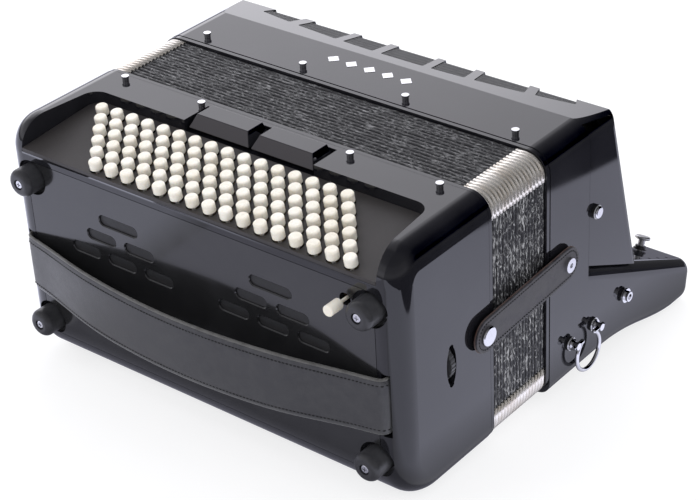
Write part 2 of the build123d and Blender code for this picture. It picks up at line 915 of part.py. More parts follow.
with BuildPart() as grille_mesh:
    for opening in window_openings(0.3).solids():
        add(opening.intersect(mesh_layer.part.solid()))
save(grille_mesh.part, "grille_mesh")

collar_length = 2.8
with BuildPart() as grille_screws:
    for side in (-1, 1):
        head_plane = Plane(origin=(side * (half_length + 0.1), 0, 0), x_dir=(0, 1, 0), z_dir=(side, 0, 0))
        spot = (grille_screw_spot[0], side * grille_screw_spot[1])
        for start, radius, length in ((0, 6, collar_length), (collar_length, 5.2, 2.2), (1, 2, -20)):
            with BuildSketch(head_plane.offset(start)):
                with Locations(spot):
                    Circle(radius)
            extrude(amount=length)
    fillet(grille_screws.edges().filter_by(GeomType.CIRCLE).group_by(Axis.X)[-1], radius=1.2)
    fillet(grille_screws.edges().filter_by(GeomType.CIRCLE).group_by(Axis.X)[0], radius=1.2)
save(grille_screws.part, "grille_screws")

with BuildPart() as register_rail:
    with BuildSketch(slope_plane.offset(0.05)):
        Rectangle(register_count * register_pitch + 6, 20)
        Rectangle(register_count * register_pitch - 6, 9, mode=Mode.SUBTRACT)
    extrude(amount=1.2)
save(register_rail.part, "register_rail")

for number in range(register_count):
    register_x = (number - (register_count - 1) / 2) * register_pitch
    with BuildPart() as register:
        with BuildSketch(slope_plane.offset(1.25 + register_gap)):
            with Locations((register_x, 0)):
                RectangleRounded(register_size[0], register_size[1], 2)
        extrude(amount=register_size[2])
        fillet(register.faces().sort_by(Axis.Y)[-1].edges(), radius=1)
        with BuildSketch(slope_plane.offset(1.3 + register_gap)):
            with Locations((register_x, -2)):
                Rectangle(6, 3)
        extrude(amount=-9)
        # Round pivot the tab rocks on, under its upper edge
        pivot_start = slope_plane.from_local_coords((register_x - 10.5, -5.5, 0.9 + register_gap))
        with BuildSketch(Plane(pivot_start, x_dir=(0, 1, 0), z_dir=(1, 0, 0))):
            Circle(1.2)
        extrude(amount=21)
    save(register.part, f"treble_register_{number + 1}")

# ---------------------------------------------------------------------------------------------
# Keyboard: white keys, black keys, their levers and pallets, axle, felt and springs
# ---------------------------------------------------------------------------------------------
lever_thickness = 3.0
axle_spot = key_plane.to_local_coords(Vector(0, key_axle_y, key_axle_z))
key_rear = axle_spot.Y - 6.0

# White keys run G to E from the chin end; a black key follows each of these
black_after = [i for i in range(white_key_count) if i % 7 in (0, 1, 3, 4, 6)]


def white_x(index):
    """Middle of a white key."""
    return keys_right - (index + 0.5) * white_pitch


def lever(x, reach):
    """A flat lever rising from the axle to a pallet at height reach on the soundboard."""
    with BuildPart() as arm:
        with BuildSketch(end_plane(x - lever_thickness / 2)):
            with BuildLine():
                Polyline(
                    (13.5, 86),
                    (22, 84),
                    (6, reach + 13),
                    (-5.5, reach + 10),
                    (-5.5, reach - 10),
                    (1, reach - 8),
                    close=True,
                )
            make_face()
        extrude(amount=lever_thickness)
        with BuildSketch(across(-4.9)):
            with Locations((x, reach)):
                Rectangle(11, 22)
        extrude(amount=3)
    return arm.part


def axle_bore():
    """The running bore through every key for the axle."""
    with BuildPart() as bore:
        with BuildSketch(end_plane(-half_length)):
            with Locations((key_axle_y, key_axle_z)):
                Circle(key_axle_radius + 0.06)
        extrude(amount=body_length)
    return bore.part


with BuildPart() as white_bodies:
    with BuildSketch(key_plane):
        with Locations(*[(white_x(i), (key_rear + key_front) / 2) for i in range(white_key_count)]):
            Rectangle(white_pitch - key_gap, key_front - key_rear)
        for i in black_after:
            with Locations((white_x(i) - white_pitch / 2, (key_rear + key_front - white_head) / 2)):
                Rectangle(
                    black_key_width + 2 * key_gap,
                    key_front - white_head - key_rear,
                    mode=Mode.SUBTRACT,
                )
    extrude(amount=-key_thickness)
    key_normal = Axis(key_plane.origin, key_plane.z_dir)
    tops = white_bodies.faces().filter_by(key_plane).group_by(key_normal)[-1]
    fillet(tops.edges().group_by(Axis.Y)[-1], radius=1.6)

with BuildPart() as white_keys:
    add(white_bodies.part)
    for i in range(white_key_count):
        add(lever(white_x(i), 160.0))
    add(axle_bore(), mode=Mode.SUBTRACT)
save(white_keys.part, "white_keys")

with BuildPart() as black_keys:
    spots = [white_x(i) - white_pitch / 2 for i in black_after]
    black_front = key_front - white_head - key_gap
    with BuildSketch(key_plane):
        with Locations(*[(x, (key_rear + black_front) / 2) for x in spots]):
            Rectangle(black_key_width, black_front - key_rear)
    extrude(amount=-key_thickness)
    for x in spots:
        with BuildSketch(key_plane):
            with Locations((x, (black_key_start + black_front) / 2)):
                Rectangle(black_key_width, black_front - black_key_start)
        with BuildSketch(key_plane.offset(black_key_rise)):
            with Locations((x, (black_key_start + black_front) / 2 - 1.5)):
                Rectangle(black_key_width - 2.4, black_front - black_key_start - 5)
        loft()
    for x in spots:
        add(lever(x, 118.0))
    add(axle_bore(), mode=Mode.SUBTRACT)
save(black_keys.part, "black_keys")

with BuildPart() as key_axle:
    with BuildSketch(end_plane(keys_left - 2.9)):
        with Locations((key_axle_y, key_axle_z)):
            Circle(key_axle_radius)
    extrude(amount=keys_right - keys_left + 5.8)
save(key_axle.part, "key_axle")

with BuildPart() as key_felt:
    with BuildSketch(key_plane.offset(-bed_drop + 0.05)):
        with Locations(((keys_left + keys_right) / 2, 90)):
            Rectangle(keys_right - keys_left - 2, 18)
    extrude(amount=2.2)
save(key_felt.part, "key_felt")

with BuildPart() as key_springs:
    for places, height in (([white_x(i) for i in range(white_key_count)], 132.0), (spots, 97.0)):
        with BuildSketch(across(3)):
            with Locations(*[(x, height) for x in places]):
                Circle(0.5)
        extrude(amount=10.9)
save(key_springs.part, "key_springs")

# ---------------------------------------------------------------------------------------------
# Treble inside: soundboard, reed blocks and reed plates
# ---------------------------------------------------------------------------------------------
save(soundboard(-8.0, 6.0, body_depth - wall), "treble_soundboard")
save(reed_blocks(-14.1, 42.0), "treble_reed_blocks")
save(reed_plates(-18.0, 34.0), "treble_reed_plates")

# ---------------------------------------------------------------------------------------------
# Palm switch
# ---------------------------------------------------------------------------------------------
cheek_top = key_plane.offset(key_drop)
with BuildPart() as master_collar:
    for radius, height in ((6.0, 1.2), (4.8, 3.6)):
        with BuildSketch(cheek_top.offset(0.1)):
            with Locations((switch_x, switch_along)):
                Circle(radius)
                Circle(3.1, mode=Mode.SUBTRACT)
        extrude(amount=height)
save(master_collar.part, "master_collar")

disc_height = 9.2
with BuildPart() as master_switch:
    with BuildSketch(cheek_top.offset(disc_height)):
        with Locations((switch_x, switch_along)):
            Circle(6.8)
    extrude(amount=3)
    fillet(master_switch.edges().filter_by(GeomType.CIRCLE), radius=1.2)
    with BuildSketch(cheek_top.offset(disc_height + 0.2)):
        with Locations((switch_x, switch_along)):
            Circle(3.04)
    extrude(amount=-23)
save(master_switch.part, "master_switch")

# ---------------------------------------------------------------------------------------------
# Shoulder strap rings, parking studs, bellows straps and their snaps, at both ends
# ---------------------------------------------------------------------------------------------
ring_wire = 1.75
ring_offset = 7.0


def side_plane(side, stand):
    """A plane off one end face: local X is the bellows axis, local Z points away from the casing."""
    return Plane(origin=(side * (half_length + stand), 0, 0), x_dir=(0, 1, 0), z_dir=(side, 0, 0))


ring_lowest = 5.0
ring_arm = 8.5

with BuildPart() as ring_posts:
    for side in (-1, 1):
        spots = [(y, side * ring_post_z) for y in ring_posts_y]
        for stand, radius, height in ((0.05, 6, 1.8), (0.05, 5, 3.4), (0.05, 3.1, ring_offset + 2.4)):
            with BuildSketch(side_plane(side, stand)):
                with Locations(*spots):
                    Circle(radius)
            extrude(amount=height)
        with BuildSketch(across(ring_posts_y[1] + 12)):
            with Locations((side * (half_length + ring_offset), ring_post_z)):
                Circle(ring_wire + 0.08)
        extrude(amount=60, mode=Mode.SUBTRACT)
save(ring_posts.part, "ring_posts")

for side, name in ((1, "strap_ring_top"), (-1, "strap_ring_bottom")):
    ring_x = side * (half_length + ring_offset)
    first, last = ring_posts_y
    with BuildPart() as strap_ring:
        with BuildLine(end_plane(ring_x)) as ring_path:
            ThreePointArc(
                (first + ring_arm, ring_post_z),
                ((first + last) / 2, ring_lowest),
                (last - ring_arm, ring_post_z),
            )
        bow = ring_path.edges()[0]
        with BuildSketch(Plane(bow @ 0, z_dir=bow % 0)):
            Circle(ring_wire)
        sweep(path=bow)
        for bend, arm_top in ((first + ring_arm, first + ring_arm), (last - ring_arm, last + 5)):
            with Locations((ring_x, bend, ring_post_z)):
                Sphere(ring_wire + 0.2)
            with BuildSketch(across(arm_top)):
                with Locations((ring_x, ring_post_z)):
                    Circle(ring_wire)
            extrude(amount=ring_arm + 5)
    save(strap_ring.part, name)

with BuildPart() as parking_studs:
    for side in (-1, 1):
        spot = (parking_stud[0], side * parking_stud[1])
        for stand, radius, height in ((0.05, 5.2, 3), (1.9, 6.4, 1.7), (1.9, 4.4, 4.9)):
            with BuildSketch(side_plane(side, stand)):
                with Locations(spot):
                    Circle(radius)
            extrude(amount=height)
        with BuildSketch(side_plane(side, 6.8)):
            with Locations(spot):
                Circle(2.6)
        extrude(amount=-2.2, mode=Mode.SUBTRACT)
save(parking_studs.part, "parking_studs")

strap_run = math.hypot(strap_snap[0] - strap_screw[0], strap_snap[1] - strap_screw[1])
strap_angle = math.degrees(math.atan2(strap_snap[1] - strap_screw[1], strap_snap[0] - strap_screw[0]))
strap_middle = ((strap_screw[0] + strap_snap[0]) / 2, (strap_screw[1] + strap_snap[1]) / 2)
for side, end in ((1, "top"), (-1, "bottom")):
    screw_spot = (strap_screw[0], side * strap_screw[1])
    snap_spot = (strap_snap[0], side * strap_snap[1])
    with BuildPart() as bellows_strap:
        with BuildSketch(side_plane(side, strap_lift)):
            with Locations(Location((strap_middle[0], side * strap_middle[1], 0), (0, 0, side * strap_angle))):
                SlotOverall(strap_run + strap_width, strap_width)
            with Locations(screw_spot):
                Circle(3.1, mode=Mode.SUBTRACT)
            with Locations(snap_spot):
                Circle(3.1, mode=Mode.SUBTRACT)
        extrude(amount=strap_thickness)
    save(bellows_strap.part, f"bellows_strap_{end}")
    with BuildPart() as snap:
        with BuildSketch(side_plane(side, strap_lift + strap_thickness + 0.05)):
            with Locations(snap_spot):
                Circle(8.2)
        extrude(amount=2.6)
        fillet(snap.edges().filter_by(GeomType.CIRCLE), radius=1.2)
        with BuildSketch(side_plane(side, strap_lift - 0.6)):
            with Locations(snap_spot):
                Circle(3.0)
        extrude(amount=strap_thickness + 1)
    save(snap.part, f"snap_{end}")

with BuildPart() as strap_screws:
    for side in (-1, 1):
        spot = (strap_screw[0], side * strap_screw[1])
        with BuildSketch(side_plane(side, strap_lift + strap_thickness + 0.1)):
            with Locations(spot):
                Circle(6.2)
        extrude(amount=2.4)
        with BuildSketch(side_plane(side, 0.05)):
            with Locations(spot):
                Circle(3.0)
        extrude(amount=strap_lift + strap_thickness + 0.2)
        with BuildSketch(side_plane(side, 0.05)):
            with Locations(spot):
                Circle(7)
        extrude(amount=strap_lift - 0.3)
        with BuildSketch(side_plane(side, strap_lift + strap_thickness + 2.5)):
            with Locations(spot):
                RegularPolygon(2.4, 6)
        extrude(amount=-1.6, mode=Mode.SUBTRACT)
save(strap_screws.part, "strap_screws")

with BuildPart() as strap_studs:
    for side in (-1, 1):
        with BuildSketch(side_plane(side, 0.05)):
            with Locations((strap_snap[0], side * strap_snap[1])):
                Circle(6)
        extrude(amount=2.2)
save(strap_studs.part, "bellows_strap_studs")
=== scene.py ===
"""Studio scene of a piano accordion lying on its back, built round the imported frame."""
import json
import math
import random

import bmesh
import bpy
from mathutils import Matrix, Vector


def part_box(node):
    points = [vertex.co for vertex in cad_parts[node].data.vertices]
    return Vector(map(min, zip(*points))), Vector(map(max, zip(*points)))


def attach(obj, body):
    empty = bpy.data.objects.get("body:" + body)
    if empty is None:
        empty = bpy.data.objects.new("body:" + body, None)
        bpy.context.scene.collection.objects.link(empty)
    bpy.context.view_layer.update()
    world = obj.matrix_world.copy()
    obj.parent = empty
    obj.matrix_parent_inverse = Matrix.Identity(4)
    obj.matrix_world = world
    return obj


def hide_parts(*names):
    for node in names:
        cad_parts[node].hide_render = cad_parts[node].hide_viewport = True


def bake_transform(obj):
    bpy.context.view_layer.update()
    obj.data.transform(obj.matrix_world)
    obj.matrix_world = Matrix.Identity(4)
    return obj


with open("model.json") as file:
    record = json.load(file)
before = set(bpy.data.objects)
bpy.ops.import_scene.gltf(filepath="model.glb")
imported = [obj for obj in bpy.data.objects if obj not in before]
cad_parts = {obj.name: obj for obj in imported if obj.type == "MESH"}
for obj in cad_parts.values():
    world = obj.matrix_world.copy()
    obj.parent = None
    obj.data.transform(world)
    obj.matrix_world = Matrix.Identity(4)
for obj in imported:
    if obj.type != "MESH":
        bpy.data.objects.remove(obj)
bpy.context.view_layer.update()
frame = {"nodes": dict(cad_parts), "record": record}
mm = 0.001
along_y = Vector((0, 1, 0))
casing_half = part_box("treble_casing")[1].x


# ---------------------------------------------------------------------------------------------
# Node helpers
# ---------------------------------------------------------------------------------------------
class Shader:
    """A material being wired: one Principled surface, object coordinates and small node helpers."""

    def __init__(self, name):
        self.material = bpy.data.materials.new(name)
        self.material.use_nodes = True
        self.tree = self.material.node_tree
        self.tree.nodes.clear()
        self.surface = self.tree.nodes.new("ShaderNodeBsdfPrincipled")
        output = self.tree.nodes.new("ShaderNodeOutputMaterial")
        self.join(self.surface.outputs[0], output.inputs[0])
        self.coords = self.tree.nodes.new("ShaderNodeTexCoord").outputs["Object"]

    def join(self, source, target):
        self.tree.links.new(source, target)

    def put(self, socket, value):
        """Set a socket from a number, a colour or another node's output."""
        if isinstance(value, bpy.types.NodeSocket):
            self.join(value, socket)
        elif socket.type == "RGBA":
            socket.default_value = (*value, 1.0)
        else:
            socket.default_value = value

    def set(self, **values):
        for key, value in values.items():
            self.put(self.surface.inputs[key.replace("_", " ")], value)

    def stretched(self, scale):
        """Object coordinates scaled separately along each axis."""
        node = self.tree.nodes.new("ShaderNodeMapping")
        node.inputs["Scale"].default_value = scale
        self.join(self.coords, node.inputs["Vector"])
        return node.outputs[0]

    def noise(self, scale, detail=4.0, rough=0.55, vector=None, distortion=0.0):
        node = self.tree.nodes.new("ShaderNodeTexNoise")
        self.join(vector or self.coords, node.inputs["Vector"])
        node.inputs["Scale"].default_value = scale
        node.inputs["Detail"].default_value = detail
        node.inputs["Roughness"].default_value = rough
        node.inputs["Distortion"].default_value = distortion
        return node.outputs["Fac"]

    def cells(self, scale):
        node = self.tree.nodes.new("ShaderNodeTexVoronoi")
        node.feature = "DISTANCE_TO_EDGE"
        self.join(self.coords, node.inputs["Vector"])
        node.inputs["Scale"].default_value = scale
        return node.outputs["Distance"]

    def axes(self, vector):
        """The X, Y and Z of a vector."""
        node = self.tree.nodes.new("ShaderNodeSeparateXYZ")
        self.join(vector, node.inputs[0])
        return node.outputs

    def geometry(self, output):
        return self.tree.nodes.new("ShaderNodeNewGeometry").outputs[output]

    def waves(self, scale, axis="X", distortion=0.0, vector=None, detail_scale=1.0):
        node = self.tree.nodes.new("ShaderNodeTexWave")
        node.bands_direction = axis
        self.join(vector or self.coords, node.inputs["Vector"])
        node.inputs["Scale"].default_value = scale
        node.inputs["Distortion"].default_value = distortion
        node.inputs["Detail Scale"].default_value = detail_scale
        return node.outputs["Fac"]

    def remap(self, value, low, high, to_low=0.0, to_high=1.0):
        node = self.tree.nodes.new("ShaderNodeMapRange")
        self.put(node.inputs["Value"], value)
        node.inputs["From Min"].default_value = low
        node.inputs["From Max"].default_value = high
        node.inputs["To Min"].default_value = to_low
        node.inputs["To Max"].default_value = to_high
        return node.outputs["Result"]

    def math(self, operation, first, second=0.0):
        node = self.tree.nodes.new("ShaderNodeMath")
        node.operation = operation
        self.put(node.inputs[0], first)
        self.put(node.inputs[1], second)
        return node.outputs[0]

    def mix(self, factor, first, second):
        node = self.tree.nodes.new("ShaderNodeMix")
        node.data_type = "RGBA"
        self.put(node.inputs["Factor"], factor)
        self.put(node.inputs["A"], first)
        self.put(node.inputs["B"], second)
        return node.outputs["Result"]

    def edge_wear(self, low=0.5, high=0.62):
        """1 on sharp convex edges, 0 elsewhere."""
        return self.remap(self.geometry("Pointiness"), low, high)

    def bump(self, height, distance, strength=1.0, below=None):
        node = self.tree.nodes.new("ShaderNodeBump")
        node.inputs["Distance"].default_value = distance
        node.inputs["Strength"].default_value = strength
        self.join(height, node.inputs["Height"])
        if below is not None:
            self.join(below, node.inputs["Normal"])
        return node.outputs["Normal"]


# ---------------------------------------------------------------------------------------------
# Materials
# ---------------------------------------------------------------------------------------------
def celluloid(name="black_celluloid", front_painted_light=None):
    """Polished black celluloid with smudges, dust and slight waves. Front slopes can get painted light:
    a greyer colour on faces turned to the front.
    """
    m = Shader(name)
    smudge = m.noise(14, 5, 0.6)
    dust = m.noise(900, 2, 0.7)
    base = m.mix(m.remap(smudge, 0.4, 0.75), (0.007, 0.007, 0.009), (0.012, 0.012, 0.015))
    flat = None
    # Painted light: faces turned towards the front (-Y) get a lighter colour, standing in for light
    # falling on the front slopes
    if front_painted_light:
        flat = m.geometry("True Normal")
        base = m.mix(m.remap(m.axes(flat)["Y"], -0.5, -0.8), base, front_painted_light)
    m.set(
        Base_Color=base,
        Roughness=m.remap(smudge, 0.35, 0.8, 0.03, 0.075),
        Specular_IOR_Level=0.5,
        Coat_Weight=0.15,
        Coat_Roughness=0.03,
    )
    wave = m.bump(m.noise(9, 1, 0.4), 0.0006, 0.35, flat)
    m.set(Normal=m.bump(dust, 0.00001, 0.15, wave))
    return m.material


def gloss_plastic():
    """Moulded black gloss plastic with slight flow marks."""
    m = Shader("black_plastic")
    flow = m.noise(60, 4, 0.6)
    m.set(
        Base_Color=m.mix(flow, (0.008, 0.008, 0.009), (0.018, 0.018, 0.019)),
        Roughness=m.remap(flow, 0.3, 0.75, 0.12, 0.22),
        Coat_Weight=0.4,
        Coat_Roughness=0.05,
        Normal=m.bump(m.noise(700, 3, 0.6), 0.00002, 0.2),
    )
    return m.material


def ivory():
    """Off-white key and button plastic, slightly translucent, a little yellower in places."""
    m = Shader("ivory_plastic")
    tone = m.noise(35, 3, 0.6)
    m.set(
        Base_Color=m.mix(m.remap(tone, 0.3, 0.7), (0.80, 0.77, 0.70), (0.72, 0.67, 0.57)),
        Roughness=m.remap(m.noise(200, 3, 0.6), 0.3, 0.7, 0.18, 0.34),
        Subsurface_Weight=0.15,
        Subsurface_Radius=(0.004, 0.003, 0.002),
        Coat_Weight=0.3,
        Normal=m.bump(m.noise(900, 2, 0.5), 0.00002, 0.15),
    )
    m.surface.inputs["Subsurface Scale"].default_value = 0.5
    return m.material


def matte_board():
    """Dark matte button board with a fine pebbled finish."""
    m = Shader("board")
    grain = m.noise(1400, 3, 0.6)
    m.set(
        Base_Color=m.mix(m.noise(25, 3, 0.5), (0.026, 0.023, 0.023), (0.040, 0.036, 0.036)),
        Roughness=m.remap(grain, 0.3, 0.7, 0.42, 0.62),
        Normal=m.bump(grain, 0.0001, 0.35),
    )
    return m.material


def rubber(name="rubber_feet"):
    """Satin black rubber, scuffed lighter on its edges."""
    m = Shader(name)
    grain = m.noise(1100, 3, 0.6)
    scuff = m.math("MULTIPLY", m.edge_wear(), m.noise(220, 4, 0.7))
    m.set(
        Base_Color=m.mix(scuff, (0.020, 0.020, 0.023), (0.07, 0.07, 0.075)),
        Roughness=m.remap(grain, 0.3, 0.7, 0.26, 0.40),
        Normal=m.bump(grain, 0.00006, 0.3),
    )
    return m.material


def chrome(name="screw_steel", colour=(0.78, 0.78, 0.80), rough=0.1):
    """Bright plated metal with fine scratches."""
    m = Shader(name)
    scratch = m.noise(260, 5, 0.7, vector=m.stretched((1, 9, 1)))
    m.set(
        Base_Color=m.mix(m.noise(90, 3, 0.5), colour, tuple(0.82 * c for c in colour)),
        Metallic=1.0,
        Roughness=m.remap(scratch, 0.3, 0.75, rough, rough + 0.14),
        Normal=m.bump(scratch, 0.00002, 0.15),
    )
    return m.material


def collared(name, base_depth):
    """Plated metal whose part nearest the casing's end, up to base_depth, is a black collar."""
    m = Shader(name)
    stand = m.math("SUBTRACT", m.math("ABSOLUTE", m.axes(m.coords)["X"]), casing_half)
    metal = m.remap(stand, base_depth - 0.1 * mm, base_depth + 0.1 * mm)
    scratch = m.noise(260, 5, 0.7)
    m.set(
        Base_Color=m.mix(metal, (0.012, 0.012, 0.013), (0.80, 0.80, 0.82)),
        Metallic=metal,
        Roughness=m.remap(scratch, 0.3, 0.75, 0.1, 0.24),
        Normal=m.bump(scratch, 0.00002, 0.15),
    )
    return m.material


def guard_metal():
    """Nickel-silver corner guards, brushed across, tarnished brown in places."""
    m = Shader("guard_metal")
    brushed = m.noise(420, 4, 0.7, vector=m.stretched((1, 8, 1)))
    tarnish = m.remap(m.noise(60, 4, 0.6), 0.45, 0.75)
    m.set(
        Base_Color=m.mix(tarnish, (0.95, 0.91, 0.85), (0.78, 0.70, 0.60)),
        Metallic=0.85,
        Roughness=m.remap(brushed, 0.3, 0.75, 0.2, 0.36),
        Normal=m.bump(brushed, 0.00003, 0.3),
    )
    return m.material


def mesh_cloth():
    """Fine woven black mesh."""
    m = Shader("mesh_metal")
    threads = 520
    warp = m.waves(threads, "X")
    weft = m.waves(threads, "Y")
    rise = m.waves(threads, "Z")
    weave = m.math("MULTIPLY", m.math("MAXIMUM", warp, rise), weft)
    m.set(
        Base_Color=m.mix(m.remap(weave, 0.2, 0.8), (0.008, 0.008, 0.009), (0.15, 0.15, 0.155)),
        Roughness=0.5,
        Normal=m.bump(weave, 0.0003, 0.6),
    )
    return m.material


def leather(name, colour=(0.022, 0.022, 0.026), lift=0.06, gloss=0.4):
    """Black leather: pebbled grain, fine creases, edges rubbed lighter."""
    m = Shader(name)
    pebbles = m.cells(900)
    creases = m.noise(120, 6, 0.7)
    worn = m.math("MULTIPLY", m.edge_wear(0.5, 0.58), m.remap(creases, 0.35, 0.6))
    worn_colour = tuple(c + lift for c in colour)
    base = m.mix(m.remap(creases, 0.4, 0.7), colour, tuple(c + 0.012 for c in colour))
    grain = m.bump(pebbles, 0.0003, 0.35)
    m.set(
        Base_Color=m.mix(worn, base, worn_colour),
        Roughness=m.remap(creases, 0.3, 0.75, 0.34, 0.55),
        Specular_IOR_Level=gloss,
        Sheen_Weight=0.5 * gloss,
        Normal=m.bump(creases, 0.0005, 0.35, grain),
    )
    return m.material


def thread():
    """Waxed black sewing thread with a twist, darker than the rubbed leather."""
    m = Shader("thread")
    twist = m.waves(900, "DIAGONAL")
    m.set(
        Base_Color=m.mix(twist, (0.003, 0.003, 0.003), (0.012, 0.012, 0.012)),
        Roughness=0.55,
        Normal=m.bump(twist, 0.0001, 0.5),
    )
    return m.material


def bellows_cloth():
    """Black coated cloth with painted highlights: broken grey dashes along each fold, longer on the ends
    and painted brighter there as if the ends caught more light.
    """
    m = Shader("bellows_cloth")
    # Painted light: faces turned along X, the bellows' ends, get brighter dashes than the top and bottom
    lit_end_share = m.remap(m.math("ABSOLUTE", m.axes(m.geometry("Normal"))["X"]), 0.35, 0.7)
    along = m.noise(300, 4, 0.7, vector=m.stretched((0.38, 1.0, 0.30)), distortion=2.6)
    patches = m.noise(55, 3, 0.6)
    streak = m.math("ADD", along, m.math("MULTIPLY", patches, 0.22))
    # The grey dashes are painted highlights, standing in for light caught on the cloth's wrinkles
    dashes = m.remap(streak, 0.63, 0.75)
    dash_highlight_colour = m.mix(lit_end_share, (0.20, 0.20, 0.205), (0.42, 0.42, 0.43))
    m.set(
        Base_Color=m.mix(dashes, (0.016, 0.016, 0.018), dash_highlight_colour),
        Roughness=m.remap(along, 0.3, 0.8, 0.5, 0.34),
        Specular_IOR_Level=0.45,
        Normal=m.bump(along, 0.0009, 0.8),
    )
    return m.material


def wood(name, light, dark):
    """Wood with growth rings along the length."""
    m = Shader(name)
    rings = m.waves(18, "Z", 6.0, m.stretched((0.25, 1, 1)), 2.0)
    pores = m.noise(700, 4, 0.7, vector=m.stretched((0.08, 1, 1)))
    m.set(
        Base_Color=m.mix(m.math("MULTIPLY", rings, pores), dark, light),
        Roughness=m.remap(pores, 0.3, 0.7, 0.45, 0.65),
        Normal=m.bump(pores, 0.0001, 0.3),
    )
    return m.material


def felt():
    """Pressed red felt with short fibres."""
    m = Shader("felt")
    fibres = m.noise(1600, 6, 0.8)
    m.set(
        Base_Color=m.mix(fibres, (0.22, 0.02, 0.025), (0.374, 0.034, 0.0425)),
        Roughness=0.95,
        Sheen_Weight=0.6,
        Normal=m.bump(fibres, 0.0004, 0.7),
    )
    return m.material


def pale_floor():
    """Backlit matte paper with faint shadows; in mirrors it shows a painted reflection instead, with
    painted contact shade near the object, and seems to end in the dark studio.
    """
    m = Shader("floor")
    place = m.axes(m.geometry("Position"))
    paper = m.mix(m.noise(30, 4, 0.5), (0.25, 0.25, 0.252), (0.27, 0.27, 0.27))
    # Painted reflection, seen only in mirrors: painted shade in front of the plate and close to the
    # object, brighter off the ends, and dark past a slanting edge
    reflection_ahead_shaded = m.mix(m.remap(place["Y"], -0.38, -0.25), (0.70, 0.70, 0.85), (0.22, 0.22, 0.27))
    reflection_beside_shaded = m.mix(m.remap(place["Y"], 0.06, 0.29), (1.10, 1.12, 1.35), (0.90, 0.91, 1.10))
    off_end = m.math("SUBTRACT", m.math("ABSOLUTE", place["X"]), casing_half)
    # Painted shade in the reflection, close to the object's ends
    reflection_beside_shaded = m.mix(m.remap(off_end, 0.0, 0.05), (0.45, 0.45, 0.50), reflection_beside_shaded)
    mirrored = m.mix(m.remap(off_end, 0.0, 0.004), reflection_ahead_shaded, reflection_beside_shaded)
    paper_edge = m.math("ADD", place["X"], m.math("MULTIPLY", place["Y"], 0.125))
    mirrored = m.mix(m.remap(paper_edge, 0.446, 0.452), mirrored, (0.03, 0.03, 0.045))
    in_mirror = m.tree.nodes.new("ShaderNodeLightPath").outputs["Is Glossy Ray"]
    m.set(
        Base_Color=m.mix(in_mirror, paper, (0.0, 0.0, 0.0)),
        Emission_Color=m.mix(in_mirror, (0.77, 0.77, 0.775), mirrored),
        Emission_Strength=1.0,
        Roughness=0.85,
        Normal=m.bump(m.noise(500, 3, 0.5), 0.0001, 0.1),
    )
    return m.material


finish = {
    "black_celluloid": celluloid(),
    "board": matte_board(),
    "ivory_plastic": ivory(),
    "black_plastic": gloss_plastic(),
    "rubber_feet": rubber(),
    "screw_steel": chrome(),
    "spring_steel": chrome("spring_steel", (0.55, 0.55, 0.57), 0.25),
    "mesh_metal": mesh_cloth(),
    "guard_metal": guard_metal(),
    "reed_aluminium": chrome("reed_aluminium", (0.72, 0.73, 0.75), 0.3),
    "emblem_silver": chrome("emblem_silver", (0.86, 0.86, 0.88), 0.22),
    "bellows_cloth": bellows_cloth(),
    "inner_wood": wood("inner_wood", (0.52, 0.36, 0.21), (0.36, 0.23, 0.12)),
    "felt": felt(),
    "strap_leather": leather("strap_leather"),
    "wheel_plastic": rubber("wheel_plastic"),
}
thread_material = thread()
raw_edge = leather("raw_edge", (0.05, 0.022, 0.016), 0.03)
piping_material = leather("piping", (0.055, 0.053, 0.05), 0.05)
end_strap_leather = leather("end_strap_leather", (0.022, 0.020, 0.026), 0.04, 0.24)
# Celluloid for the register tabs, with painted light making their front slopes greyer
register_celluloid_painted_front = celluloid("register_celluloid_painted_front", (0.026, 0.023, 0.026))


def cover(node_name, material):
    """Give a CAD node one material."""
    slots = frame["nodes"][node_name].data.materials
    slots.clear()
    slots.append(material)


for entry in frame["record"]["subparts"]:
    cover(entry["node"], finish[entry["material_slot"]])
cover("bass_register_1", register_celluloid_painted_front)
cover("bass_register_2", register_celluloid_painted_front)
cover("master_switch", chrome("switch_plating", (0.82, 0.82, 0.83), 0.42))
for node_name, collar in (
    ("grille_screws", 2.9 * mm), ("parking_studs", 1.9 * mm), ("ring_posts", 1.8 * mm)
):
    cover(node_name, collared(f"{node_name}_metal", collar))


# ---------------------------------------------------------------------------------------------
# Mesh helpers
# ---------------------------------------------------------------------------------------------
def as_object(name, mesh_builder, material, smooth=True):
    """Turn a bmesh into a named object with its material."""
    mesh = bpy.data.meshes.new(name)
    bmesh.ops.recalc_face_normals(mesh_builder, faces=mesh_builder.faces)
    mesh_builder.to_mesh(mesh)
    mesh_builder.free()
    for face in mesh.polygons:
        face.use_smooth = smooth
    piece = bpy.data.objects.new(name, mesh)
    bpy.context.scene.collection.objects.link(piece)
    piece.data.materials.append(material)
    return piece


def skin(builder, rows, closed_path=False):
    """Join rings of vertices with faces. An open path gets a cap at each end."""
    count = len(rows)
    for i in range(count if closed_path else count - 1):
        here, there = rows[i], rows[(i + 1) % count]
        for j in range(len(here)):
            k = (j + 1) % len(here)
            builder.faces.new((here[j], here[k], there[k], there[j]))
    if not closed_path:
        builder.faces.new(rows[0])
        builder.faces.new(list(reversed(rows[-1])))


def sweep(builder, path, section, closed_path=True):
    """Skin a closed section along a path. path holds (origin, across, up) and section holds (a, b)."""
    rows = []
    for origin, across, up in path:
        rows.append([builder.verts.new(origin + across * a + up * b) for a, b in section])
    skin(builder, rows, closed_path)


def round_section(radius, sides):
    """A round cord's outline as (a, b) points."""
    angles = [2 * math.pi * k / sides for k in range(sides)]
    return [(radius * math.cos(angle), radius * math.sin(angle)) for angle in angles]


